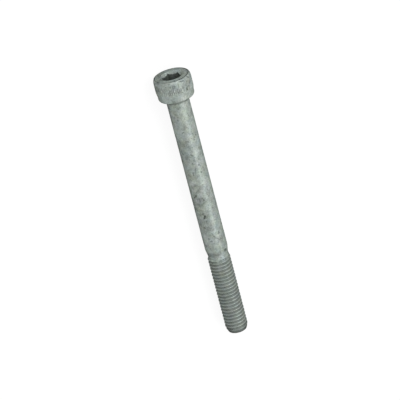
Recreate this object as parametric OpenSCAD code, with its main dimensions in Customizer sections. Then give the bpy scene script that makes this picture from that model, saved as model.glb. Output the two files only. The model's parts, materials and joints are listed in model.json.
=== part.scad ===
// Hex socket cap screw, M8 x 90, hot-dip galvanised steel, made in one piece.
// The screw lies on its side as it would come to rest: on two teeth of the knurled head
// and on the last full thread. Its tip points along +X and the floor is z = 0.

/* [Head] */
// Diameter over the teeth of the knurl
head_d = 12.95; // [11:0.05:14]
// Height of the head, from its bearing face to its top
head_h = 8; // [6.5:0.1:10]
// Radius of the crowned edge round the top of the head
top_round = 3.3; // [2.8:0.1:4]
// Height over which the crowned edge curves in
top_fall = 1.9; // [1:0.1:2.4]
// Diameter of the smooth rim below the knurl
rim_d = 12.45; // [10.9:0.05:12.55]
// Radius of the rounded edge under the rim
rim_round = 0.45; // [0.2:0.05:0.8]
// Height of the smooth rim, where the knurl starts to fade out
rim_h = 1.8; // [1.2:0.1:2.4]
// Height above the bearing face where the teeth reach their full size
knurl_start = 3.1; // [2.6:0.1:4]
// Distance from tooth to tooth of the straight knurl
knurl_pitch = 0.68; // [0.5:0.02:1.2]
// Depth of the grooves between the teeth
knurl_depth = 0.16; // [0.08:0.01:0.24]

/* [Socket] */
// Width of the socket across its flats
socket_af = 6; // [5:0.5:6.5]
// Depth of the flat-sided part of the socket
socket_depth = 4.4; // [3:0.1:5]
// Angle of the cone that the punch leaves at the bottom
socket_cone = 120; // [100:5:160]
// Diameter of the countersink round the mouth
mouth_d = 7.7; // [7.6:0.1:8.4]
// Turn of the socket about the screw's axis, away from a corner at the top
socket_turn = 18; // [0:1:59]

/* [Shank] */
// Length of the screw below its head
length = 90; // [60:1:120]
// Diameter of the plain shank
shank_d = 7.9; // [7.6:0.05:8.2]
// Radius of the fillet between the shank and the bearing face
head_fillet = 0.45; // [0.2:0.05:0.6]
// Diameter of the rolling blank, seen in the short neck above the thread
neck_d = 7.1; // [6.9:0.05:7.3]
// Length of the neck
neck_len = 0.5; // [0.3:0.1:3]
// Length of the taper from the shank down to the neck
taper_len = 2.3; // [1:0.1:5]

/* [Thread] */
// Diameter over the crests of the thread
thread_d = 7.85; // [7.6:0.05:8]
// Pitch of the thread
pitch = 1.25; // [1:0.05:1.5]
// Length of full thread, with the chamfered tip
thread_len = 27.3; // [14:0.1:40]
// Length over which the thread runs out towards the neck
runout_len = 2.5; // [1:0.1:5]
// Length of the chamfer at the tip
tip_len = 2.2; // [1:0.1:3.5]
// Diameter of the flat face at the tip
tip_d = 6.1; // [4.5:0.1:6.3]

/* [Hidden] */
$fn = 96;

// Surfaces that are joined run this far into each other
overlap = 0.05;
// Clearance between the tips of the teeth and the turned outline that trims them
trim = 0.12;

head_r = head_d / 2;
rim_r = rim_d / 2;
shank_r = shank_d / 2;
neck_r = neck_d / 2;
thread_r = thread_d / 2;
tip_r = tip_d / 2;

// The head's turned outline, and what is left flat of its top
side_r = head_r + trim;
top_face_r = side_r - top_round + sqrt(top_round * top_round - top_fall * top_fall);

// An even number of teeth puts a groove at the lowest point, so the head lies on two teeth
teeth = 2 * round(PI * head_d / knurl_pitch / 2);
tooth_angle = 360 / teeth;

// The basic metric profile: 60 degree flanks, crests an eighth and roots a quarter of a pitch wide
flank_angle = 30;
crest_w = pitch / 8;
root_w = pitch / 4;
flank_w = (pitch - crest_w - root_w) / 2;
thread_depth = flank_w / tan(flank_angle);
root_r = thread_r - thread_depth;

// Heights above the tip face
thread_top = thread_len + runout_len;
neck_top = thread_top + neck_len;
taper_top = neck_top + taper_len;

// Steps round one turn of the helix: fewer on a longer thread, so that its faces stay countable
face_limit = 9000;
profile_points = 4;
turns = ceil(thread_top / pitch);
steps = min(32, 2 * floor(face_limit / (turns * profile_points * 4)));
rows = (turns + 3) * profile_points;

// The first ring of the thread sits just inside the neck that it grows from
blank_r = neck_r - 0.02;

// How the screw lies: the slope of the line that touches the head and the last full thread,
// between two teeth and at the flat between two steps of the helix
head_touch_r = head_r * cos(tooth_angle / 2);
thread_touch_r = thread_r * cos(180 / steps);
last_crest = length - tip_len;
lean = atan((head_touch_r - thread_touch_r) / (knurl_start + last_crest));
axis_height = head_touch_r * cos(lean) - knurl_start * sin(lean);
head_reach = head_h * cos(lean) + top_face_r * sin(lean);
tip_reach = length * cos(lean) + tip_r * sin(lean);
centre_x = (tip_reach - head_reach) / 2;

// The screw's own frame: the bearing face is z = 0, the head is above it and the shank below.

// What is cut off an outline's outer corner to round it: an upper one, or a lower one if turned
module corner_waste(corner, radius, turn) {
    translate(corner) rotate(turn) difference() {
        translate([-radius, -radius]) square(radius + 1);
        translate([-radius, -radius]) circle(radius);
    }
}

// Half of the head's turned outline: crowned top edge, straight side, taper and rounded rim
module head_outline() {
    fade_slope = (head_r - rim_r) / (knurl_start - rim_h);
    difference() {
        polygon([
            [0, 0],
            [rim_r, 0],
            [rim_r, rim_h],
            [side_r, rim_h + (side_r - rim_r) / fade_slope],
            [side_r, head_h],
            [0, head_h]
        ]);
        corner_waste([side_r, head_h - top_fall + top_round], top_round, 0);
        corner_waste([rim_r, 0], rim_round, -90);
    }
}

// The straight knurl: a ring of pointed teeth with sharp grooves
module knurl() {
    groove_r = head_r - knurl_depth;
    outline = [
        for (i = [0 : teeth - 1])
            let (a = i * tooth_angle, b = a + tooth_angle / 2)
            each [groove_r * [cos(a), sin(a)], head_r * [cos(b), sin(b)]]
    ];
    translate([0, 0, -1]) linear_extrude(head_h + 2) polygon(outline);
}

// The hexagonal socket with its countersunk mouth and the punch's cone at the bottom
module socket() {
    corner_r = socket_af / 2 / cos(30);
    mouth_r = mouth_d / 2;
    cone_r = socket_af / 2 - 0.3;
    cone_h = cone_r / tan(socket_cone / 2);
    rotate(socket_turn) {
        translate([0, 0, head_h - socket_depth]) cylinder(h = socket_depth + 1, r = corner_r, $fn = 6);
        translate([0, 0, head_h - mouth_r]) cylinder(h = mouth_r + 1, r1 = 0, r2 = mouth_r + 1);
        translate([0, 0, head_h - socket_depth - cone_h])
            cylinder(h = cone_h + overlap, r1 = 0, r2 = cone_r * (1 + overlap / cone_h));
    }
}

module head() {
    difference() {
        intersection() {
            rotate_extrude() head_outline();
            knurl();
        }
        socket();
    }
}

// The plain shank, the fillet under the head, the taper and the neck, turned as one outline
module shank() {
    fillet_r = shank_r + head_fillet;
    rotate_extrude() {
        difference() {
            translate([0, -head_fillet]) square([fillet_r, head_fillet + overlap]);
            translate([fillet_r, -head_fillet]) circle(head_fillet);
        }
        polygon([
            [0, overlap],
            [shank_r, overlap],
            [shank_r, taper_top - length],
            [neck_r, neck_top - length],
            [neck_r, thread_top - length],
            [0, thread_top - length]
        ]);
    }
}

// Radius of the thread at a height above the tip, on the k-th line of its profile
function form_r(k) = k < 2 ? thread_r : root_r;
function runout(h) = max(0, min(1, (thread_top - h) / runout_len));
function chamfer_r(h) = tip_r + (thread_r - tip_r) * h / tip_len;
function surface_r(h, k) = min(blank_r + (form_r(k) - blank_r) * runout(h), chamfer_r(h));

// Height of a profile line above the start of its turn
function line_h(k) = [0, crest_w, crest_w + flank_w, crest_w + flank_w + root_w][k];

// Angle of column i, half a step on, so that a flat and no corner of the helix lies lowest
function column_angle(i) = 360 * (i + 0.5) / steps;

// Height above the tip of row j in column i: the rows climb one pitch a turn, to the right.
// The crest in the lowest column starts where the chamfer ends, so the screw lies on it.
function raw_h(i, j) =
    tip_len + pitch * ((i + 1) / steps - 0.5 + floor(j / profile_points) - ceil(tip_len / pitch) - 1)
    + line_h(j % profile_points);

// The whole threaded end as one skin: rows along the helix, cut off level at both ends
module thread() {
    top = thread_top + overlap;
    h = [for (i = [0 : steps - 1]) [for (j = [0 : rows - 1]) raw_h(i, j)]];
    first = [for (i = [0 : steps - 1]) max([for (j = [0 : rows - 1]) if (h[i][j] <= 0) j])];
    last = [for (i = [0 : steps - 1]) min([for (j = [0 : rows - 1]) if (h[i][j] >= top) j])];
    points = [
        for (i = [0 : steps - 1])
            for (j = [0 : rows - 1])
                let (
                    level = max(0, min(top, h[i][j])),
                    r = surface_r(level, j % profile_points),
                    a = column_angle(i)
                )
                [r * cos(a), r * sin(a), level]
    ];
    function at(i, j) =
        let (
            c = i % steps,
            row = i < steps ? j : j + profile_points
        )
        c * rows + max(first[c], min(last[c], row));
    skin = [
        for (i = [0 : steps - 1])
            for (j = [0 : rows - 2])
                let (p = at(i, j), q = at(i + 1, j), s = at(i + 1, j + 1), t = at(i, j + 1))
                each [
                    if (p != q && q != s && p != s) [p, s, q],
                    if (p != s && s != t && p != t) [p, t, s]
                ]
    ];
    tip_face = [for (i = [0 : steps - 1]) i * rows + first[i]];
    top_face = [for (i = [steps - 1 : -1 : 0]) i * rows + last[i]];
    translate([0, 0, -length]) polyhedron(points, concat(skin, [tip_face, top_face]));
}

module cap_screw() {
    color([0.6, 0.64, 0.61])
        translate([-centre_x, 0, axis_height]) rotate([0, lean - 90, 0]) {
            head();
            shank();
            thread();
        }
}

cap_screw();
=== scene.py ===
# Looks of a hot-dip galvanised hex socket cap screw. One closed skin takes the place of the
# plain solid. Node trees work out its knurled head, socket, shank, thread and tip from named
# sizes, and its zinc coat is a procedural material with lumps, specks, stains and dirt, and
# with painted shade in its hollows and painted highlights.
import json
import math

import bmesh
import bpy
from mathutils import Matrix, Vector


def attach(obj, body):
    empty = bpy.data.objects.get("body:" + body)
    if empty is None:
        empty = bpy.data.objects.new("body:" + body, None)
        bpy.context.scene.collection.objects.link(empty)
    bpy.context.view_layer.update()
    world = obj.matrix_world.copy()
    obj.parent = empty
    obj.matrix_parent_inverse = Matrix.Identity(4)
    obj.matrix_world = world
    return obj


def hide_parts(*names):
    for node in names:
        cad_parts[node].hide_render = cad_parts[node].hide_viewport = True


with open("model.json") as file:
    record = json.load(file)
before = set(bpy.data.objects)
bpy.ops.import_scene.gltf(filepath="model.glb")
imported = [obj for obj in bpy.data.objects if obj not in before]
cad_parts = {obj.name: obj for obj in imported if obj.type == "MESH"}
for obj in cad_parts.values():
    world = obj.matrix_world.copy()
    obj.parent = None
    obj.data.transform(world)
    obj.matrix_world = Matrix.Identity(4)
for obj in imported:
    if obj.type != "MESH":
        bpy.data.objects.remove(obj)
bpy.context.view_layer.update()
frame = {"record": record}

# Lengths are in millimetres until the finished skin is placed in the frame.
MM = 0.001
FRAME_PIXELS = 400

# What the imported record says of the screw
mounts = {m["name"]: m for m in frame["record"]["mounts"]}
TO_TIP = Vector(mounts["shank"]["axis"]).normalized()
ON_AXIS = Vector(mounts["shank"]["pos_m"])
SHANK_R = mounts["shank"]["dims"]["r_mm"]
THREAD_R = mounts["thread"]["dims"]["r_mm"]
THREAD_LEN = mounts["thread"]["dims"]["length_mm"]
SOCKET_DEPTH = mounts["hex_socket"]["dims"]["length_mm"]


def along_axis(name):
    """How far a mount lies towards the tip from the middle of the plain shank, in mm."""
    return (Vector(mounts[name]["pos_m"]) - ON_AXIS).dot(TO_TIP) / MM


# The screw's own frame: its origin is the middle of the bearing face, and heights rise to the head
UNDERSIDE = ON_AXIS + TO_TIP * along_axis("bearing_face") * MM
TO_HEAD = -TO_TIP
ASIDE = Vector((0, 1, 0))
UPWARD = ASIDE.cross(TO_HEAD)

HEAD_H = along_axis("bearing_face") - along_axis("hex_socket")
LENGTH = along_axis("thread") + THREAD_LEN / 2 - along_axis("bearing_face")
PLAIN_LEN = mounts["shank"]["dims"]["length_mm"]

# The rest of the screw's sizes, as on the solid, but with the rounder edges that zinc gives the
# rim under the head and the tip
HEAD_R = 6.475
CROWN_IN = 0.55
CROWN_FALL = 1.85
RIM_R = 6.225
RIM_ROUND = 0.85
RIM_H = 1.8
KNURL_START = 3.1
TEETH = 60
SOCKET_AF = 6.0
SOCKET_TURN = 18.0
SOCKET_CONE = 120.0
MOUTH_R = 3.85
HEAD_FILLET = 0.45
NECK_R = 3.55
NECK_LEN = 0.5
PITCH = 1.25
RUNOUT_LEN = 2.5
TIP_LEN = 2.2
TIP_R = 3.05
TIP_ROUND = 0.4

THREAD_TOP = THREAD_LEN + RUNOUT_LEN
TAPER_TOP = LENGTH - HEAD_FILLET - PLAIN_LEN
TAPER_LEN = TAPER_TOP - THREAD_TOP - NECK_LEN
CONE_R = SOCKET_AF / 2 - 0.3

# What the zinc leaves open of the knurl's and the thread's grooves, and how it swells the chamfer
KNURL_DEPTH = 0.11
THREAD_DEPTH = 0.5
TIP_SWELL = 0.45

# The lumps of the zinc coat: how far they draw the surface in, how far apart they are, their seed
LUMP_HEIGHT = 0.07
LUMP_SIZE = 3.2
LUMP_SEED = 3.7

# Points closer than this are welded, and edges sharper than this angle stay sharp
WELD_GAP = 0.002
SHARP_ANGLE = 38

# Columns of faces round the screw: the head has eight to a tooth, and one in four goes on below
FINE_COLUMNS = 8 * TEETH
COLUMNS = FINE_COLUMNS // 4
ROWS_A_PITCH = 12


class Value:
    """A number inside a node tree. Python's operators on it add the tree's Math nodes."""

    def __init__(self, web, socket):
        self.web = web
        self.socket = socket

    def maths(self, operation, *others):
        return self.web.maths(operation, self, *others)

    def __add__(self, other):
        return self.maths("ADD", other)

    def __radd__(self, other):
        return self.web.maths("ADD", other, self)

    def __sub__(self, other):
        return self.maths("SUBTRACT", other)

    def __rsub__(self, other):
        return self.web.maths("SUBTRACT", other, self)

    def __mul__(self, other):
        return self.maths("MULTIPLY", other)

    def __rmul__(self, other):
        return self.web.maths("MULTIPLY", other, self)

    def __truediv__(self, other):
        return self.maths("DIVIDE", other)

    def __rtruediv__(self, other):
        return self.web.maths("DIVIDE", other, self)

    def __mod__(self, other):
        return self.maths("FLOORED_MODULO", other)

    def __pow__(self, other):
        return self.maths("POWER", other)

    def __lt__(self, other):
        return self.maths("LESS_THAN", other)

    def __gt__(self, other):
        return self.maths("GREATER_THAN", other)

    def low(self, other):
        return self.maths("MINIMUM", other)

    def high(self, other):
        return self.maths("MAXIMUM", other)

    def clamp(self, low=0.0, high=1.0):
        return self.high(low).low(high)

    def radians(self):
        return self.maths("RADIANS")

    def cos(self):
        return self.maths("COSINE")

    def sin(self):
        return self.maths("SINE")

    def rise(self, start, end):
        """0 before start, 1 after end and a soft step between; it falls where end is the lower."""
        share = ((self - start) / (end - start)).clamp()
        return share * share * (3 - 2 * share)

    def hump(self, middle, half_width):
        """1 at the middle, falling softly to 0 at half a width to either side."""
        return (self - middle).maths("ABSOLUTE").rise(half_width, 0)


class Web:
    """A node tree, for geometry or for a material, that is written as Python expressions."""

    def __init__(self, tree):
        self.tree = tree

    def node(self, kind, settings=None, inputs=None):
        """Adds a node, makes its settings and then feeds its inputs with values or links."""
        made = self.tree.nodes.new(kind)
        for name, value in (settings or {}).items():
            setattr(made, name, value)
        for name, value in (inputs or {}).items():
            self.feed(made.inputs[name], value)
        return made

    def feed(self, socket, value):
        if isinstance(value, Value):
            value = value.socket
        if isinstance(value, bpy.types.NodeSocket):
            self.tree.links.new(value, socket)
        else:
            socket.default_value = value

    def value(self, kind, output=0, settings=None, inputs=None):
        return Value(self, self.node(kind, settings, inputs).outputs[output])

    def maths(self, operation, *terms):
        return self.value("ShaderNodeMath", 0, {"operation": operation}, dict(enumerate(terms)))

    def vectors(self, operation, *terms, output="Vector"):
        return self.value("ShaderNodeVectorMath", output, {"operation": operation}, dict(enumerate(terms)))

    def dot(self, first, second):
        return self.vectors("DOT_PRODUCT", first, second, output="Value")

    def length(self, vector):
        return self.vectors("LENGTH", vector, output="Value")

    def scaled(self, vector, factor):
        node = self.node("ShaderNodeVectorMath", {"operation": "SCALE"}, {0: vector, "Scale": factor})
        return Value(self, node.outputs["Vector"])

    def split(self, vector):
        parts = self.node("ShaderNodeSeparateXYZ", inputs={0: vector})
        return [Value(self, output) for output in parts.outputs]

    def join(self, x, y, z):
        return self.value("ShaderNodeCombineXYZ", inputs={0: x, 1: y, 2: z})

    def mix(self, first, second, share):
        """Mixes two colours by a share from 0 to 1; either may be a fixed one."""
        mixed = self.node("ShaderNodeMix", {"data_type": "RGBA"}, {"Factor": share})
        for socket, colour in zip([s for s in mixed.inputs if s.type == "RGBA"], (first, second)):
            self.feed(socket, (*colour, 1.0) if isinstance(colour, tuple) else colour)
        return Value(self, next(s for s in mixed.outputs if s.type == "RGBA"))

    def noise_node(self, place, size, detail, seed):
        inputs = {"Vector": place, "W": seed, "Scale": 1 / size, "Detail": detail, "Roughness": 0.55}
        return self.node("ShaderNodeTexNoise", {"noise_dimensions": "4D"}, inputs)

    def noise(self, place, size, detail=2.0, seed=0.0):
        """A noise round 0, within about -1 and 1, whose lumps are about size apart."""
        return Value(self, self.noise_node(place, size, detail, seed).outputs[0]) * 4 - 2

    def drift(self, place, size, reach, seed=0.0):
        """The place moved about by up to reach, so that shapes worked out from it are irregular."""
        shift = self.vectors("SUBTRACT", self.noise_node(place, size, 2.0, seed).outputs[1], (0.5,) * 3)
        return self.vectors("ADD", place, self.scaled(shift, 4 * reach))


class HalfSection:
    """A line of points of radius and height, which a skin is turned from."""

    def __init__(self, radius, height):
        self.points = [(radius, 0, height)]

    def line(self, radius, height, steps):
        r, _, h = self.points[-1]
        for i in range(1, steps + 1):
            self.points.append((r + (radius - r) * i / steps, 0, h + (height - h) * i / steps))

    def arc(self, radius, height, across, up, start, end, steps):
        """An arc round a point, as wide and as high as its two sizes say, between two angles."""
        for i in range(steps + 1):
            a = math.radians(start + (end - start) * i / steps)
            self.points.append((radius + across * math.cos(a), 0, height + up * math.sin(a)))

    def ease(self, radius, height, steps):
        """A soft S from the last point to a new one, parallel to the axis at both ends."""
        r, _, h = self.points[-1]
        for i in range(1, steps + 1):
            share = i / steps
            soft = share * share * (3 - 2 * share)
            self.points.append((r + (radius - r) * soft, 0, h + (height - h) * share))


# Where the skins of the head's outside, its socket and the shank meet
TOP_SEAM_R = 4.6
BEARING_SEAM_R = 4.9
TIP_SEAM_H = 0.3


def head_section():
    """The head's outside, from its top face round its crowned edge and side to its bearing face."""
    section = HalfSection(TOP_SEAM_R, HEAD_H)
    section.line(HEAD_R - CROWN_IN - 0.05, HEAD_H, 3)
    section.arc(HEAD_R - CROWN_IN, HEAD_H - CROWN_FALL, CROWN_IN, CROWN_FALL, 90, 0, 16)
    section.line(HEAD_R, KNURL_START, 12)
    section.line(RIM_R, RIM_H, 7)
    section.line(RIM_R, RIM_ROUND + 0.1, 5)
    section.arc(RIM_R - RIM_ROUND, RIM_ROUND, RIM_ROUND, RIM_ROUND, 0, -90, 7)
    section.line(BEARING_SEAM_R, 0, 2)
    return section.points


def shank_section():
    """Fillet, plain shank, soft-cornered taper and neck, down to where the thread starts."""
    corner = 0.5
    section = HalfSection(BEARING_SEAM_R, 0)
    section.line(SHANK_R + HEAD_FILLET + 0.02, 0, 1)
    section.arc(SHANK_R + HEAD_FILLET, -HEAD_FILLET, HEAD_FILLET, HEAD_FILLET, 90, 180, 6)
    section.line(SHANK_R, TAPER_TOP - LENGTH + corner, 90)
    section.ease(NECK_R, TAPER_TOP - TAPER_LEN - LENGTH - corner, 14)
    section.line(NECK_R, THREAD_TOP - LENGTH, 2)
    return section.points


def tip_section():
    """The tip's rounded edge and its flat face, up to the middle."""
    section = HalfSection(tip_outline(TIP_SEAM_H), TIP_SEAM_H - LENGTH)
    section.arc(TIP_R - TIP_ROUND, TIP_ROUND - LENGTH, TIP_ROUND, TIP_ROUND, -25, -90, 5)
    section.line(0, -LENGTH, 5)
    return section.points


def tip_outline(height):
    """Radius of the chamfered tip at a height above its face: zinc has rounded the chamfer."""
    share = height / TIP_LEN
    return TIP_R + (THREAD_R - TIP_R) * share * (1 + TIP_SWELL * (1 - share))


def socket_section():
    """Rows of the socket's skin, as radius where it is round, hexagonal share and share of its depth."""
    lip = [(TOP_SEAM_R, 0, 0), (4.3, 0, 0), (4.05, 0, 0), (MOUTH_R + 0.03, 0, 0)]
    flare = [(MOUTH_R, share, 0) for share in (0.04, 0.3, 0.6, 0.9, 1)]
    walls = [(MOUTH_R, 1, share) for share in (0.03, 0.08, 0.16, 0.28, 0.4, 0.55, 0.7, 0.85, 0.95, 1)]
    floor = [(CONE_R, share, 1) for share in (0.95, 0.5, 0)]
    cone = [(CONE_R * share, 0, 1) for share in (0.66, 0.33, 0)]
    return lip + flare + walls + floor + cone


def strip(web, columns, rows):
    """A sheet of faces that will be rolled round the axis: its mesh, column and row."""
    sizes = {"Size X": 1.0, "Size Y": 1.0, "Vertices X": columns + 1, "Vertices Y": rows}
    grid = web.node("GeometryNodeMeshGrid", inputs=sizes)
    index = web.value("GeometryNodeInputIndex")
    column = (index / rows).maths("FLOOR")
    return grid.outputs["Mesh"], column, index - column * rows


def roll_up(web, mesh, angle, radius, height):
    """Sets a strip's points to an angle in degrees, a radius and a height of the screw."""
    turn = angle.radians()
    place = web.join(radius * turn.cos(), radius * turn.sin(), height)
    return web.value("GeometryNodeSetPosition", inputs={"Geometry": mesh, "Position": place})


def section_point(web, section, row):
    """The three numbers of a row's point in the section that the tree was given."""
    inputs = {"Geometry": section, "Value": web.value("GeometryNodeInputPosition"), "Index": row}
    settings = {"data_type": "FLOAT_VECTOR", "domain": "POINT"}
    return web.split(web.value("GeometryNodeSampleIndex", 0, settings, inputs))


def turned_skin(web, section, rows, size):
    """The shank or the tip: the half section turned about the axis."""
    mesh, column, row = strip(web, COLUMNS, rows)
    radius, _, height = section_point(web, section, row)
    return roll_up(web, mesh, column * (size["Full turn"] / COLUMNS), radius, height)


def knurled_skin(web, section, rows, size):
    """The head's outside: turned, then pressed with a straight knurl that zinc fills here and there."""
    mesh, column, row = strip(web, FINE_COLUMNS, rows)
    radius, _, height = section_point(web, section, row)
    fine_angle = column * (360 / FINE_COLUMNS)
    coarse_angle = (column / 4).maths("ROUND") * (360 / COLUMNS)
    at_edge = (row < 0.5).high(row > rows - 1.5)
    angle = fine_angle + (coarse_angle - fine_angle) * at_edge
    turn = fine_angle.radians()
    head_r = size["Head radius"]
    place = web.join(turn.cos() * head_r, turn.sin() * head_r, height * 0.45)
    filling = web.noise(place, 1.1, 3.0, size["Seed"]).rise(-0.5, 0.7)
    wave = 0.5 + 0.5 * (turn * size["Teeth"]).cos()
    groove = size["Groove depth"] * (1 - 0.8 * filling) * wave ** 1.3
    fade = height.rise(size["Knurl start"] - 0.9, size["Knurl start"])
    toothed = radius.low(head_r - groove * fade)
    on_side = height > 0.1
    return roll_up(web, mesh, angle, radius + (toothed - radius) * on_side, height)


def socket_skin(web, section, rows, size):
    """The inside of the socket: a round countersunk mouth, six flats and the punch's cone."""
    mesh, column, row = strip(web, COLUMNS, rows)
    round_r, hexagonal, depth = section_point(web, section, row)
    half_af, mouth_r = size["Across flats"] / 2, size["Mouth radius"]
    angle = column * (360 / COLUMNS)
    from_flat = ((angle - size["Turn"]) % 60 - 30).radians()
    hex_r = half_af / from_flat.cos()
    radius = round_r + (hex_r - round_r) * hexagonal
    flare_h = size["Head height"] - (mouth_r - radius.high(hex_r)).high(0.0)
    floor_h = size["Head height"] - size["Depth"]
    dip = (CONE_R - radius).high(0.0) / (size["Cone angle"] / 2).radians().maths("TANGENT")
    height = flare_h + (floor_h - dip - flare_h) * depth
    return roll_up(web, mesh, angle, radius, height)


# The rows start this many pitches below the chamfer's end. At the thread's upper end, the groove
# reaches its full depth over the next length, and the crest is full from the last one, above the
# end of the full thread.
FIRST_CREST = 3.42
GROOVE_GROWTH = 0.6
CREST_FULL = 1.5


def threaded_skin(web, section, rows, size):
    """The rolled thread: a right-hand helix that runs out at the neck and is chamfered at the tip."""
    mesh, column, row = strip(web, COLUMNS, rows)
    pitch, crest_r, neck_r = size["Pitch"], size["Crest radius"], size["Neck radius"]
    top, tip_len, tip_r = size["Thread top"], size["Tip length"], size["Tip radius"]
    angle = column * (360 / COLUMNS)
    first_crest = tip_len - pitch * FIRST_CREST
    raw = first_crest + pitch * (angle / 360 + row / ROWS_A_PITCH)
    height = raw.clamp(TIP_SEAM_H, THREAD_TOP)
    phase = (row / ROWS_A_PITCH) % 1.0
    from_crest = 2 * phase.low(1 - phase)

    turn = angle.radians()
    place = web.join(turn.cos() * crest_r, turn.sin() * crest_r, height * 0.6)
    clogging = web.noise(place, 1.6, 2.0, size["Seed"])
    drained = (turn + 0.2).sin().hump(0.0, 0.42) * (turn.cos() > 0)
    zinc = 0.08 + 0.10 * clogging + 0.34 * drained * (0.8 + 0.5 * clogging)
    depth = size["Groove depth"] * (1 - zinc.clamp(0.0, 0.75))

    sunk = (0.5 - 0.5 * (math.pi * (from_crest * 1.22 - 0.16).clamp()).cos()) ** 0.85
    grown = height.rise(top, top - GROOVE_GROWTH)
    full = height.rise(top, size["Full length"] + CREST_FULL)
    envelope = neck_r + (crest_r - neck_r) * full
    rolled = (envelope - depth * sunk * grown).high((crest_r - depth).low(envelope))
    share = height / tip_len
    chamfer = tip_r + (crest_r - tip_r) * share * (1 + TIP_SWELL * (1 - share).high(0.0))
    return roll_up(web, mesh, angle, rolled.low(chamfer), height - size["Screw length"])


def zinc_lumps(web, skin, rows, size):
    """Draws the skin inwards by a slowly changing thickness, as a dipped coat lies."""
    here = web.value("GeometryNodeInputPosition")
    broad = web.noise(here, size["Lump size"], 1.0, size["Seed"])
    fine = web.noise(here, size["Lump size"] * 0.3, 2.0, size["Seed"] + 5)
    sink = size["Lump height"] * (0.5 + 0.3 * broad + 0.2 * fine).clamp()
    offset = web.scaled(web.value("GeometryNodeInputNormal"), -1 * sink)
    return web.value("GeometryNodeSetPosition", inputs={"Geometry": skin, "Offset": offset})


def grown_skin(name, grow, given, sizes, material, turned_out=False):
    """Runs a tree with named sizes on a mesh or a section, and returns the plain mesh it grows."""
    source, rows = given, 0
    if isinstance(given, list):
        source, rows = bpy.data.meshes.new(name), len(given)
        source.from_pydata(given, [], [])
    holder = bpy.data.objects.new(name, source)
    bpy.context.scene.collection.objects.link(holder)
    tree = bpy.data.node_groups.new(name, "GeometryNodeTree")
    tree.interface.new_socket("Given", in_out="INPUT", socket_type="NodeSocketGeometry")
    sockets = {
        label: tree.interface.new_socket(label, in_out="INPUT", socket_type="NodeSocketFloat")
        for label in sizes
    }
    tree.interface.new_socket("Skin", in_out="OUTPUT", socket_type="NodeSocketGeometry")
    web = Web(tree)
    inputs = web.node("NodeGroupInput").outputs
    skin = grow(web, inputs["Given"], rows, {label: Value(web, inputs[label]) for label in sizes})
    if turned_out:
        skin = web.value("GeometryNodeFlipFaces", inputs={"Mesh": skin})
    real = web.value("GeometryNodeRealizeInstances", inputs={"Geometry": skin})
    painted = web.value("GeometryNodeSetMaterial", inputs={"Geometry": real, "Material": material})
    web.node("NodeGroupOutput", inputs={"Skin": painted})
    modifier = holder.modifiers.new(name, "NODES")
    modifier.node_group = tree
    for label, socket in sockets.items():
        modifier[socket.identifier] = float(sizes[label])
    graph = bpy.context.evaluated_depsgraph_get()
    mesh = bpy.data.meshes.new_from_object(holder.evaluated_get(graph))
    bpy.data.objects.remove(holder)
    return mesh


def head_skins(material):
    knurl = {
        "Head radius": HEAD_R, "Teeth": TEETH, "Groove depth": KNURL_DEPTH,
        "Knurl start": KNURL_START, "Seed": 2.0,
    }
    socket = {
        "Across flats": SOCKET_AF, "Mouth radius": MOUTH_R, "Depth": SOCKET_DEPTH,
        "Cone angle": SOCKET_CONE, "Turn": SOCKET_TURN, "Head height": HEAD_H,
    }
    return [
        grown_skin("Knurled head", knurled_skin, head_section(), knurl, material),
        grown_skin("Hex socket", socket_skin, socket_section(), socket, material, True),
    ]


def shank_skins(material):
    thread = {
        "Pitch": PITCH, "Crest radius": THREAD_R, "Groove depth": THREAD_DEPTH, "Neck radius": NECK_R,
        "Thread top": THREAD_TOP, "Full length": THREAD_LEN, "Tip length": TIP_LEN, "Tip radius": TIP_R,
        "Screw length": LENGTH, "Seed": 6.0,
    }
    thread_rows = [(0, 0, 0)] * ((math.ceil(THREAD_TOP / PITCH) + 2) * ROWS_A_PITCH + 1)
    turn = {"Full turn": 360}
    return [
        grown_skin("Turned shank", turned_skin, shank_section(), turn, material),
        grown_skin("Rolled thread", threaded_skin, thread_rows, thread, material, True),
        grown_skin("Turned tip", turned_skin, tip_section(), turn, material),
    ]


def screw_mesh(material):
    """All skins of the screw, welded into one closed mesh and given their lumps of zinc."""
    shell = bmesh.new()
    for skin in head_skins(material) + shank_skins(material):
        shell.from_mesh(skin)
        bpy.data.meshes.remove(skin)
    bmesh.ops.remove_doubles(shell, verts=shell.verts, dist=WELD_GAP)
    bmesh.ops.recalc_face_normals(shell, faces=shell.faces)
    welded = bpy.data.meshes.new("Welded skin")
    shell.to_mesh(welded)
    shell.free()
    lumps = {"Lump height": LUMP_HEIGHT, "Lump size": LUMP_SIZE, "Seed": LUMP_SEED}
    mesh = grown_skin("Zinc lumps", zinc_lumps, welded, lumps, material)
    mesh.shade_smooth()
    mesh.set_sharp_from_angle(angle=math.radians(SHARP_ANGLE))
    return mesh


def screw_frame():
    """From the screw's own frame, in mm with its head along +Z, to the row frame in metres."""
    turn = Matrix((UPWARD, ASIDE, TO_HEAD)).transposed().to_4x4()
    return Matrix.Translation(UNDERSIDE) @ turn @ Matrix.Scale(MM, 4)


def side_radius(height):
    """Radius of the shank, or of the head's side and crowned edge, at a height."""
    if height < 0:
        return SHANK_R
    sunk = max(0.0, height - HEAD_H + CROWN_FALL) / CROWN_FALL
    return HEAD_R - CROWN_IN * (1 - math.sqrt(1 - sunk * sunk))


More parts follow.
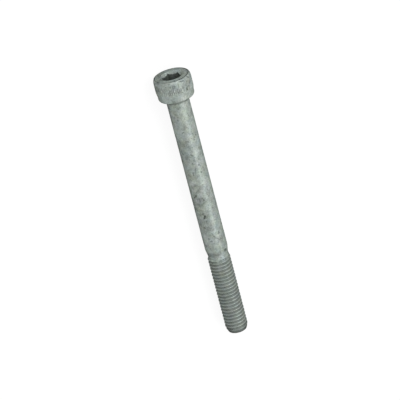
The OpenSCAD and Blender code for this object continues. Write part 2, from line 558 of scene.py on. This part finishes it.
# Marks on the upper side of the screw: height and distance aside of both ends, half width, darkness
MARKS = [
    (-43.4, -1.1, -44.2, -1.45, 0.46, 0.85),
    (-42.5, -1.5, -42.7, -1.6, 0.38, 0.6),
    (-45.4, -1.0, -45.6, -1.0, 0.34, 0.5),
    (-36.3, -2.9, -35.5, -2.2, 0.34, 0.75),
    (-34.3, -1.8, -33.4, -0.9, 0.3, 0.4),
    (-36.6, -0.5, -37.5, 0.0, 0.26, 0.5),
    (-37.0, -1.4, -37.8, -1.5, 0.4, 0.4),
    (-26.8, -1.25, -27.7, -1.25, 0.34, 0.6),
    (-25.4, -0.1, -27.4, -0.6, 0.22, 0.4),
    (-27.2, 1.5, -27.4, 1.55, 0.36, 0.6),
    (-24.3, 1.4, -24.5, 1.4, 0.4, 0.55),
    (-23.4, -0.6, -23.8, -0.6, 0.3, 0.45),
    (-20.2, -0.3, -20.4, -0.1, 0.34, 0.6),
    (-47.7, -2.3, -47.9, -2.2, 0.32, 0.55),
    (-53.2, -1.4, -53.2, -1.0, 0.36, 0.6),
    (-55.0, -3.3, -55.2, -3.3, 0.45, 0.6),
    (-50.1, -0.3, -51.7, 0.35, 0.24, 0.5),
    (-4.7, -1.9, -5.7, -1.5, 0.45, 0.45),
    (-6.7, 0.6, -7.1, 0.6, 0.32, 0.45),
    (-5.3, 2.1, -6.4, 2.2, 0.24, 0.5),
    (-13.9, 2.9, -14.0, 3.0, 0.34, 0.55),
    (-15.0, 1.9, -15.3, 1.9, 0.36, 0.45),
    (-11.5, -0.8, -11.8, -1.4, 0.3, 0.5),
    (-19.4, -2.9, -19.8, -2.9, 0.34, 0.5),
    (-58.0, 2.7, -58.2, 3.0, 0.6, 0.7),
    (-58.4, 1.1, -59.2, 1.1, 0.2, 0.5),
    (7.7, 4.9, 7.15, 5.4, 0.34, 0.65),
    (6.65, 4.45, 6.35, 4.55, 0.26, 0.5),
    (6.1, 5.5, 5.6, 5.5, 0.25, 0.4),
    (7.55, -1.75, 7.5, -1.25, 0.26, 0.45),
    (6.5, -1.55, 6.25, -1.3, 0.28, 0.5),
    (6.1, -3.0, 6.1, -2.55, 0.25, 0.4),
    (6.45, -0.4, 6.4, 0.35, 0.22, 0.4),
    (3.65, -2.4, 3.45, -2.25, 0.28, 0.5),
    (4.0, 0.85, 3.75, 1.1, 0.26, 0.4),
    (3.7, 2.05, 3.5, 2.35, 0.22, 0.35),
    (3.65, 3.75, 3.6, 4.15, 0.24, 0.45),
    (3.25, 3.55, 3.1, 3.75, 0.2, 0.35),
    (1.8, -4.15, 1.5, -3.95, 0.28, 0.35),
    (0.9, -2.95, 0.75, -2.55, 0.28, 0.6),
    (1.35, 1.45, 1.1, 1.85, 0.22, 0.5),
    (7.9, -5.15, 7.8, -4.8, 0.42, 0.45),
    (6.55, -5.65, 5.35, -5.3, 0.4, 0.3),
    (7.4, 2.3, 7.3, 3.5, 0.25, 0.45),
]

# Marks on the flat of the head's top: both ends up from the axis and aside, half width, darkness
TOP_MARKS = [
    (4.95, 2.4, 5.05, 3.05, 0.28, 0.8),
    (4.65, 3.25, 4.05, 4.2, 0.2, 0.6),
    (5.45, 0.5, 5.8, 0.65, 0.26, 0.6),
    (2.7, 4.95, 3.15, 4.65, 0.32, 0.75),
    (1.6, 5.2, 0.6, 5.45, 0.3, 0.4),
    (3.4, -4.75, 2.6, -5.1, 0.34, 0.4),
    (4.9, -2.9, 4.6, -3.4, 0.24, 0.4),
    (-0.6, -3.95, -2.6, -3.2, 0.22, 0.3),
]

# Painted highlights: brighter strokes that stand for light on the zinc, given as the marks on the side
# are, with their brightness
PAINTED_HIGHLIGHTS = [
    (7.3, -1.1, 7.5, 0.75, 0.45, 0.24),
    (6.25, 2.15, 4.35, 2.8, 0.55, 0.2),
    (6.95, 1.3, 6.9, 3.3, 0.26, 0.2),
    (6.95, -3.1, 7.15, -2.45, 0.34, 0.26),
    (2.4, 2.3, 1.6, 3.1, 0.5, 0.12),
    (-59.3, 1.75, -60.1, 1.6, 0.6, 0.2),
    (-60.9, -2.9, -61.35, -0.6, 0.34, 0.32),
    (-61.4, 0.0, -61.5, 1.8, 0.34, 0.26),
    (-82.9, 0.1, -82.8, 2.3, 0.4, 0.24),
    (-79.2, 0.6, -79.1, 2.2, 0.35, 0.16),
]

# The zinc's colour, and the brown soil on the tip's face
ZINC = (0.318, 0.359, 0.330)
SOIL = (0.115, 0.10, 0.085)

# Its gloss comes from its metal share alone, because a dull coat has no bright edges
METAL = 0.35
ROUGH = 0.41
SHINE = 0.0
EDGE_SHINE = 0.0

# Height above the tip of the painted shade round the neck
NECK_SHADE_H = 31.3


def specks(web, place, cell, size, share, seed):
    """Soft round specks of zinc ash, one in some of the cells that fill the space."""
    bent = web.drift(place, 0.9, 0.22, seed)
    shifted = web.vectors("ADD", bent, (seed, 2 * seed, 3 * seed))
    cells = web.node("ShaderNodeTexVoronoi", inputs={"Vector": shifted, "Scale": 1 / cell})
    chance, bulk, _ = web.split(cells.outputs["Color"])
    distance = Value(web, cells.outputs["Distance"]) * cell
    return (chance < share) * distance.rise(size * (0.6 + bulk), 0.1 * size)


def on_side(height, aside):
    """The point of the screw's upper side at a height and a distance aside."""
    return Vector((math.sqrt(side_radius(height) ** 2 - aside * aside), aside, height))


def strokes(web, place, lines):
    """Soft strokes, each from one point of the surface to another, with its half width and strength."""
    found = None
    for start, end, half_width, strength in lines:
        stroke = end - start
        away = web.vectors("SUBTRACT", place, tuple(start))
        share = web.dot(away, tuple(stroke / stroke.length_squared)).clamp()
        gap = web.length(web.vectors("SUBTRACT", away, web.scaled(tuple(stroke), share)))
        mark = strength * gap.rise(1.25 * half_width, 0.35 * half_width)
        found = mark if found is None else found.high(mark)
    return found


def marks(web, place):
    """The larger dark marks of ash and dirt."""
    lines = [(on_side(h, y), on_side(end_h, end_y), *rest) for h, y, end_h, end_y, *rest in MARKS]
    for up, y, end_up, end_y, *rest in TOP_MARKS:
        lines.append((Vector((up, y, HEAD_H)), Vector((end_up, end_y, HEAD_H)), *rest))
    return strokes(web, web.drift(place, 0.8, 0.12, 4.0), lines)


def painted_highlights(web, place):
    """The painted highlights: brighter strokes that stand for light falling on the zinc."""
    lines = [(on_side(h, y), on_side(end_h, end_y), *rest) for h, y, end_h, end_y, *rest in PAINTED_HIGHLIGHTS]
    return strokes(web, web.drift(place, 1.1, 0.3, 6.0), lines)


class Coat:
    """Where a point of the zinc lies on the screw, in mm, and the noises that its looks share."""

    def __init__(self, web):
        here = web.node("ShaderNodeTexCoord").outputs["Object"]
        from_underside = web.vectors("SUBTRACT", here, tuple(UNDERSIDE))
        axes = (UPWARD, ASIDE, TO_HEAD)
        self.web = web
        self.up, self.aside, self.height = (web.dot(from_underside, tuple(a / MM)) for a in axes)
        self.place = web.join(self.up, self.aside, self.height)
        self.radius = web.length(web.join(self.up, self.aside, 0.0))
        self.azimuth = self.aside.maths("ARCTAN2", self.up)
        self.above_tip = self.height + LENGTH

        self.clouds = web.noise(self.place, 4.0, detail=2.0, seed=1.0)
        self.mottle = web.noise(self.place, 1.3, detail=3.0, seed=2.0)
        self.grain = web.noise(self.place, 0.35, detail=2.0, seed=3.0)
        drawn_out = web.join(self.up, self.aside, self.height * 0.3)
        self.streaks = web.noise(drawn_out, 0.45, detail=2.0, seed=5.0)

        self.on_head = self.height.rise(-0.1, 0.2)
        self.on_knurl = self.height.hump(4.8, 2.9) * (self.radius > HEAD_R - 0.3)
        self.in_thread = self.above_tip.rise(THREAD_TOP - 0.3, THREAD_TOP - 2.0)
        self.in_groove = self.in_thread * self.radius.rise(THREAD_R - 0.12, THREAD_R - 0.42)


def dark_spots(coat):
    """Specks of ash and dust, which crowd together in places, and the larger marks."""
    web, place = coat.web, coat.place
    crowd = web.noise(place, 4.5, detail=1.0, seed=4.0).rise(-0.6, 0.6)
    ash = specks(web, place, cell=1.25, size=0.32, share=0.35 + 0.45 * crowd, seed=7.0)
    dust = specks(web, place, cell=0.8, size=0.18, share=0.45 + 0.35 * crowd, seed=11.0)
    return (0.55 * ash).high(0.4 * dust).high(marks(web, place))


def dirt_and_painted_shade(coat):
    """Dirt on the edge of the head's top and blots on its crown; painted shade on and under the rim."""
    height, mottle, clouds = coat.height, coat.mottle, coat.clouds
    edge_line = coat.radius.hump(5.75 + 0.12 * mottle, 0.24) * height.rise(HEAD_H - 0.4, HEAD_H - 0.2)
    to_one_side = coat.azimuth.rise(0.0, 0.45)
    edge_line = edge_line * (0.62 + 0.3 * to_one_side + 0.5 * clouds + 0.4 * mottle).clamp()
    # Painted shade on the shank just below the head's rim and on the rim's lower rounding
    painted_shade_under_head = height.hump(-0.7, 0.8) * (1 - coat.on_head) * (0.75 + 0.8 * mottle)
    painted_shade_on_rim_foot = height.rise(0.45, 0.05) * coat.on_head * (0.6 + 0.6 * mottle)
    crown_blots = height.hump(7.3, 0.9) * coat.on_head * (mottle * 0.8 + clouds * 0.6).rise(0.1, 1.1)
    return (0.9 * edge_line).high(0.65 * painted_shade_under_head).high(0.5 * painted_shade_on_rim_foot).high(0.45 * crown_blots).clamp()


def mottling_and_knurl_shade(coat):
    """Broad swells and clouds, fine mottle and grain, knurl streaks, and painted shade in knurl grooves.
    """
    swells = coat.web.noise(coat.place, 11.0, detail=1.0, seed=21.0)
    broad = (0.09 * swells + 0.19 * coat.clouds) * (1 - 0.7 * coat.in_thread)
    fine = (0.31 * coat.mottle + 0.31 * coat.grain) * (1 - 0.72 * coat.in_thread)
    # Painted shade: the knurl's grooves darkened, where shade falls between the teeth
    knurl_groove_shade = coat.on_knurl * (0.5 + 0.5 * (coat.azimuth * TEETH).cos())
    return (1 + broad + fine) * (1 + 0.46 * coat.streaks * coat.on_knurl) * (1 - 0.25 * knurl_groove_shade)


def thread_tone_and_painted_light(coat):
    """A duller thread: painted shade in grooves and at the neck, painted crest highlights, soil on the
    tip.
    """
    azimuth, above_tip = coat.azimuth, coat.above_tip
    on_crest = coat.in_thread * coat.radius.rise(THREAD_R - 0.3, THREAD_R - 0.1)
    # Painted shade in the thread's grooves; the whole thread is also a duller tone
    tone = (1 - 0.15 * coat.in_thread) * (1 - 0.34 * coat.in_groove)
    # Painted highlight on the crests of the side towards the lamps
    tone = tone * (1 + 0.17 * on_crest * azimuth.hump(0.5, 0.6))
    on_sides = azimuth.maths("ABSOLUTE").rise(0.35, 0.9)
    tip_soil = 0.24 * above_tip.rise(2.6, 0.8) + 0.24 * above_tip.rise(3.8, 2.4) * on_sides
    # Painted shade round the neck's taper, darkest on the side away from the lamps
    round_neck = 0.26 * azimuth.rise(0.5, 0.1) + 0.18 * azimuth.rise(-0.45, -0.9)
    painted_neck_shade = above_tip.hump(NECK_SHADE_H, 1.8) * round_neck
    return tone * (1 - tip_soil) * (1 - painted_neck_shade)


def head_tone_and_painted_light(coat):
    """A lighter head, painted light on its top's upper half and in the mouth, painted shade in the socket.
    """
    height, radius = coat.height, coat.radius
    mouth_h = HEAD_H - (MOUTH_R - radius).high(0.0)
    # Painted shade inside the socket
    in_socket = (radius < 3.6) * (height > HEAD_H - SOCKET_DEPTH - 2)
    in_socket = in_socket * height.rise(mouth_h - 0.1, mouth_h - 0.4)
    on_mouth = (radius < MOUTH_R) * height.rise(mouth_h - 0.2, mouth_h - 0.1)
    on_top = height.rise(HEAD_H - 0.35, HEAD_H - 0.05) * (radius > MOUTH_R)
    # Painted light: the top face lighter on its upper half, towards the lamps, and darker below
    top = 1 + on_top * (0.16 * coat.up.rise(-0.6, 0.6) - 0.07)
    # Painted highlight on one side of the socket's countersunk mouth
    mouth = 1 + 0.45 * on_mouth * coat.azimuth.hump(-2.7, 0.42)
    return (1 + 0.06 * coat.on_head) * top * mouth * (1 - 0.58 * in_socket)


def zinc_colour(coat, tone):
    """The zinc's grey-green at a tone, which drifts warmer and cooler, and the soil on the tip."""
    web = coat.web
    tints = web.noise_node(coat.place, 2.2, detail=1.0, seed=8.0).outputs[1]
    red_drift, _, blue_drift = (2 * part - 1 for part in web.split(tints))
    red = ZINC[0] * (1 + 0.10 * red_drift)
    blue = ZINC[2] * (1 + 0.16 * blue_drift)
    colour = web.scaled(web.join(red, ZINC[1], blue), tone.high(0.05))
    return web.mix(colour, SOIL, 0.5 * coat.above_tip.rise(0.9, 0.3))


def zinc_material():
    """Hot-dip zinc: dull grey-green metal, mottled, ash specks, painted shade in hollows, painted
    highlights.
    """
    material = bpy.data.materials.new("Galvanised zinc")
    material.use_nodes = True
    shader = material.node_tree.nodes["Principled BSDF"]
    web = Web(material.node_tree)
    coat = Coat(web)

    dark = dark_spots(coat)
    # The tone carries painted shade and painted highlights besides the zinc's own mottling and marks
    tone = mottling_and_knurl_shade(coat) * thread_tone_and_painted_light(coat) * head_tone_and_painted_light(coat) * (1 + painted_highlights(web, coat.place))
    tone = tone * (1 - dirt_and_painted_shade(coat)) * (1 - 0.78 * dark.clamp())
    roughness = ROUGH + 0.06 * coat.mottle + 0.15 * dark + 0.1 * coat.in_groove
    relief = (0.02 * coat.mottle + 0.006 * coat.grain) * (1 - 0.75 * coat.in_thread)
    relief = relief - 0.03 * dark + 0.01 * coat.streaks * coat.on_knurl
    bump = web.value("ShaderNodeBump", inputs={"Strength": 1.0, "Distance": MM, "Height": relief})

    web.feed(shader.inputs["Base Color"], zinc_colour(coat, tone))
    web.feed(shader.inputs["Roughness"], roughness.clamp())
    web.feed(shader.inputs["Normal"], bump)
    shader.inputs["Metallic"].default_value = METAL
    shader.inputs["Specular IOR Level"].default_value = SHINE
    shader.inputs["Specular Tint"].default_value = (*[EDGE_SHINE] * 3, 1)
    return material


# The floor's glow where it is seen, its matt tone and its width in metres, and the world's level
FLOOR_WHITE = 0.88
FLOOR_TONE = 0.15
FLOOR_SIZE = 3.0
WORLD_LEVEL = 0.71

# The lamps: width and distance in metres, power, and how far they lean in degrees
LAMP_SIZE = 0.6
LAMP_DISTANCE = 1.0
LAMP_ASIDE = 35
KEY_POWER = 3.8
KEY_ALONG = -30
SHEEN_POWER = 2.4
SHEEN_ALONG = 25


def seen_rays(web):
    """1 for the rays that show a backdrop: to the camera, and in a reflection or through glass."""
    rays = web.node("ShaderNodeLightPath")
    names = ("Is Camera Ray", "Is Glossy Ray", "Is Transmission Ray")
    camera, glossy, through = (Value(web, rays.outputs[name]) for name in names)
    return (camera + glossy + through).clamp()


def floor_material():
    """A white floor: it reads white to the camera and in reflections, and keeps a soft shadow."""
    material = bpy.data.materials.new("White floor")
    material.use_nodes = True
    tree = material.node_tree
    web = Web(tree)
    matt = web.node("ShaderNodeBsdfDiffuse", inputs={"Color": (*[FLOOR_TONE] * 3, 1)}).outputs[0]
    glow = web.node("ShaderNodeEmission", inputs={"Strength": FLOOR_WHITE * seen_rays(web)}).outputs[0]
    both = web.node("ShaderNodeAddShader", inputs={0: matt, 1: glow}).outputs[0]
    web.feed(tree.nodes["Material Output"].inputs["Surface"], both)
    return material


def add_floor():
    half = FLOOR_SIZE / 2
    corners = [(-half, -half, 0), (half, -half, 0), (half, half, 0), (-half, half, 0)]
    mesh = bpy.data.meshes.new("floor")
    mesh.from_pydata(corners, [], [(0, 1, 2, 3)])
    mesh.materials.append(floor_material())
    floor = bpy.data.objects.new("floor", mesh)
    bpy.context.scene.collection.objects.link(floor)


def add_lamp(name, power, along):
    """A soft square lamp over the screw, which leans aside (to +Y) and along (to the tip) by degrees."""
    data = bpy.data.lights.new(name, "AREA")
    data.energy, data.size = power, LAMP_SIZE
    lamp = bpy.data.objects.new(name, data)
    lamp.visible_camera = False
    a, b = math.radians(LAMP_ASIDE), math.radians(along)
    towards = Vector((math.sin(b), math.cos(b) * math.sin(a), math.cos(b) * math.cos(a)))
    turn = towards.to_track_quat("Z", "Y").to_matrix().to_4x4()
    lamp.matrix_world = Matrix.Translation(towards * LAMP_DISTANCE) @ turn
    bpy.context.scene.collection.objects.link(lamp)


def add_screw():
    zinc = zinc_material()
    mesh = screw_mesh(zinc)
    mesh.materials.clear()
    mesh.materials.append(zinc)
    mesh.transform(screw_frame())
    screw = bpy.data.objects.new("cap_screw_skin", mesh)
    bpy.context.scene.collection.objects.link(screw)
    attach(screw, "root")
    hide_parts("cap_screw")


# The camera looks down on the lying screw from its head's side, at an angle to its axis. Its scale
# is in pixels a millimetre, its distance, aim and sensor in millimetres, its angles in degrees
# and its clipping in metres.
PIXELS_A_MM = 2.955
DISTANCE = 1100.0
VIEW_TO_AXIS = 65.18
ROLL = 14.75
AIM_BELOW_HEAD = 38.84
AIM_ASIDE = -1.287
SENSOR = 36.0
CLIP = (0.05, 20)


def add_camera():
    data = bpy.data.cameras.new("Camera")
    data.sensor_width = SENSOR
    data.lens = PIXELS_A_MM * DISTANCE / FRAME_PIXELS * SENSOR
    data.clip_start, data.clip_end = CLIP
    camera = bpy.data.objects.new("Camera", data)
    bpy.context.scene.collection.objects.link(camera)
    v, a = math.radians(VIEW_TO_AXIS), math.radians(ROLL)
    towards = math.sin(v) * UPWARD + math.cos(v) * TO_HEAD
    up = math.sin(v) * TO_HEAD - math.cos(v) * UPWARD
    image_up = math.cos(a) * up + math.sin(a) * ASIDE
    image_right = math.cos(a) * ASIDE - math.sin(a) * up
    aim = UNDERSIDE + (TO_TIP * AIM_BELOW_HEAD + ASIDE * AIM_ASIDE) * MM
    turn = Matrix((image_right, image_up, towards)).transposed().to_4x4()
    camera.matrix_world = Matrix.Translation(aim + towards * DISTANCE * MM) @ turn
    bpy.context.scene.camera = camera


def set_backdrop():
    bpy.context.scene.view_settings.view_transform = "Standard"
    world = bpy.data.worlds.new("Studio")
    bpy.context.scene.world = world
    world.use_nodes = True
    backdrop = world.node_tree.nodes["Background"]
    backdrop.inputs["Color"].default_value = (1, 1, 1, 1)
    backdrop.inputs["Strength"].default_value = WORLD_LEVEL


add_screw()
add_camera()
add_floor()
add_lamp("Key", KEY_POWER, KEY_ALONG)
add_lamp("Sheen", SHEEN_POWER, SHEEN_ALONG)
set_backdrop()
